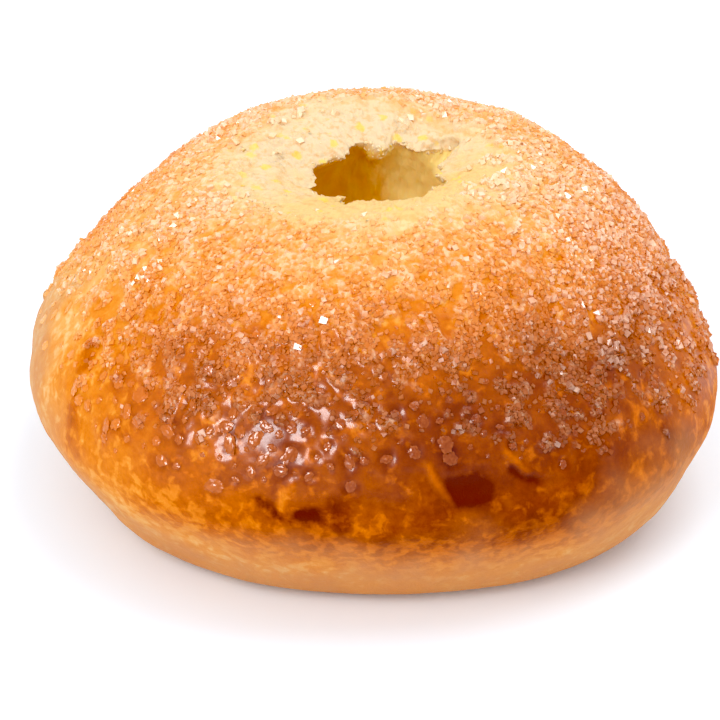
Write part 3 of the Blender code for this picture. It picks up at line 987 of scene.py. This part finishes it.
# The tones of the crumb inside the hollow and outside it. In the hollow the pale side
# and the dark side are partly painted light and shade, partly butter soaking.
crumbTone = {
    # the pale side is partly painted light, the dark side partly painted shade
    "within": (92, 70),  # degrees from the right where the hollow turns pale
    "withinShadeAndLight": (0.1, 0.85),  # its dark side, and how much paler the other is
    "blend": (28, 34),  # heights over which the two part
    # outside, the crumb away from the front is greyer, partly as painted shade, and yellower with butter
    # towards it
    "outside": (150, 40),  # degrees from the turn below, where the crown turns yellower
    "outsideTurn": -70,
    "wander": ((0.25, 2.0),),
}


def toneOf(surface):
    azimuth, height = surface["azimuth"], surface["points"][:, 2]
    dark, more = crumbTone["withinShadeAndLight"]
    within = dark + more * smooth(*crumbTone["within"], np.degrees(np.abs(azimuth)))
    # the hollow's dark side and its pale side, partly painted shade and light, blend down at the floor
    within = 0.5 + (within - 0.5) * smooth(*crumbTone["blend"], height)
    away = np.degrees(np.abs(apartFrom(crumbTone["outsideTurn"], azimuth)))
    outside = smooth(*crumbTone["outside"], away)
    tone = np.where(surface["inHollow"] > 0, within, outside)
    return np.clip(tone + layered(surface["points"], crumbTone["wander"]), 0, 1)


def makeBun(dice):
    surface = makeSurface()
    addSand(surface)
    brownSurface(surface)
    blistered = placeBlisters(surface, dice)
    lift = reliefOf(surface)
    surface["points"] += surface["normals"] * lift[:, None]
    surface["normals"] = normalsOf(surface["points"], surface["quads"], surface["fans"])
    surface["tone"] = toneOf(surface)
    surface["frost"] *= palenessOf(surface["bake"])
    faces = surface["quads"].tolist() + surface["fans"].tolist()
    labels = ("bake", "crumb", "gloss", "tone", "inHollow", "fleck", "frost", "sugared", "dull")
    values = {label: surface[label] for label in labels}
    body = makePiece("bakedBun", surface["points"], faces, crustMaterial(), values)
    markTorn(body.data, surface["mouth"])
    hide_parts("bun")
    return surface, blistered


# White paper under a pale sky, a large light over the right side, and a fill light and
# a softbox at the front left.
studio = {
    "world": ("#F6F8FF", 1.0),
    "lights": (  # name, azimuth, elevation, distance, width, watts, what it lights
        ("keyLight", 5, 70, 1.1, 0.60, 3.5, "all"),
        ("frontFill", -125, 42, 1.1, 0.50, 4, "diffuse"),
        ("softbox", -122, 31, 1.0, 0.38, 14, "shine"),
    ),
    "lightTarget": 0.03,  # metres above the floor
    "floorReach": 4.0,
    "paper": ("#ECF7FE", "#EEF8FF"),
    "paperGrain": 60.0,
    "paperGlow": 0.07,
    "target": (-1.812, -1.1, 17.014),  # what the lens is aimed at
    "black": 0.02,  # the darkest tone that prints as black
    "distance": 500.0,
    "elevation": 30.0,
    "lens": 163.5,
    "sensor": 36,
    "clip": (0.01, 20),
}


def directionOf(azimuth, elevation):
    turn, rise = math.radians(azimuth), math.radians(elevation)
    return Vector((math.cos(turn) * math.cos(rise), math.sin(turn) * math.cos(rise), math.sin(rise)))


def makeFloor(scene):
    # Matte white paper, which glows a little so that it prints white.
    material, tree = newMaterial("whitePaper")
    grain = addNode(tree, "TexNoise", {"Scale": studio["paperGrain"], "Detail": 3})
    dark, pale = map(linear, studio["paper"])
    shade = addNode(tree, "Mix", {"data_type": "RGBA", 6: dark, 7: pale}, {0: grain})
    shader = addNode(tree, "BsdfPrincipled", {
        "Roughness": 0.9, "Emission Color": linear("#FFFFFF"), "Emission Strength": studio["paperGlow"],
    }, {"Base Color": shade})
    addNode(tree, "OutputMaterial", {}, {"Surface": shader})
    mesh = bpy.data.meshes.new("floor")
    reach = studio["floorReach"]
    corners = [(-reach, -reach, 0), (reach, -reach, 0), (reach, reach, 0), (-reach, reach, 0)]
    mesh.from_pydata(corners, [], [(0, 1, 2, 3)])
    mesh.materials.append(material)
    floor = bpy.data.objects.new("floor", mesh)
    scene.collection.objects.link(floor)


def makeLights(scene):
    for name, azimuth, elevation, distance, width, watts, use in studio["lights"]:
        lamp = bpy.data.lights.new(name, "AREA")
        lamp.shape, lamp.size, lamp.energy = "SQUARE", width, watts
        away = directionOf(azimuth, elevation)
        light = bpy.data.objects.new(name, lamp)
        light.location = away * distance + Vector((0, 0, studio["lightTarget"]))
        light.rotation_euler = away.to_track_quat("Z", "Y").to_euler()
        light.visible_diffuse, light.visible_glossy = use != "shine", use != "diffuse"
        scene.collection.objects.link(light)


def makeCamera(scene):
    lens = bpy.data.cameras.new("camera")
    lens.lens, lens.sensor_width = studio["lens"], studio["sensor"]
    lens.clip_start, lens.clip_end = studio["clip"]
    camera = bpy.data.objects.new("camera", lens)
    away = directionOf(-90, studio["elevation"])
    camera.location = (Vector(studio["target"]) + away * studio["distance"]) * mm
    camera.rotation_euler = away.to_track_quat("Z", "Y").to_euler()
    scene.collection.objects.link(camera)
    scene.camera = camera


def makeStudio():
    scene = bpy.context.scene
    view = scene.view_settings
    view.view_transform, view.look, view.use_curve_mapping = "Standard", "None", True
    view.curve_mapping.black_level = [studio["black"]] * 3
    view.curve_mapping.update()
    world = bpy.data.worlds.new("paleStudio")
    world.use_nodes = True
    background = world.node_tree.nodes["Background"]
    background.inputs["Color"].default_value = linear(studio["world"][0])
    background.inputs["Strength"].default_value = studio["world"][1]
    scene.world = world
    makeLights(scene)
    makeFloor(scene)
    makeCamera(scene)
    print("studio set")


dice = np.random.default_rng(11)
makeStudio()
surface, blistered = makeBun(dice)
makeBlisters(surface, *blistered, dice)
makeToasted(surface, dice)
makeCrystals(surface, dice)
makeFlakes(surface, dice)
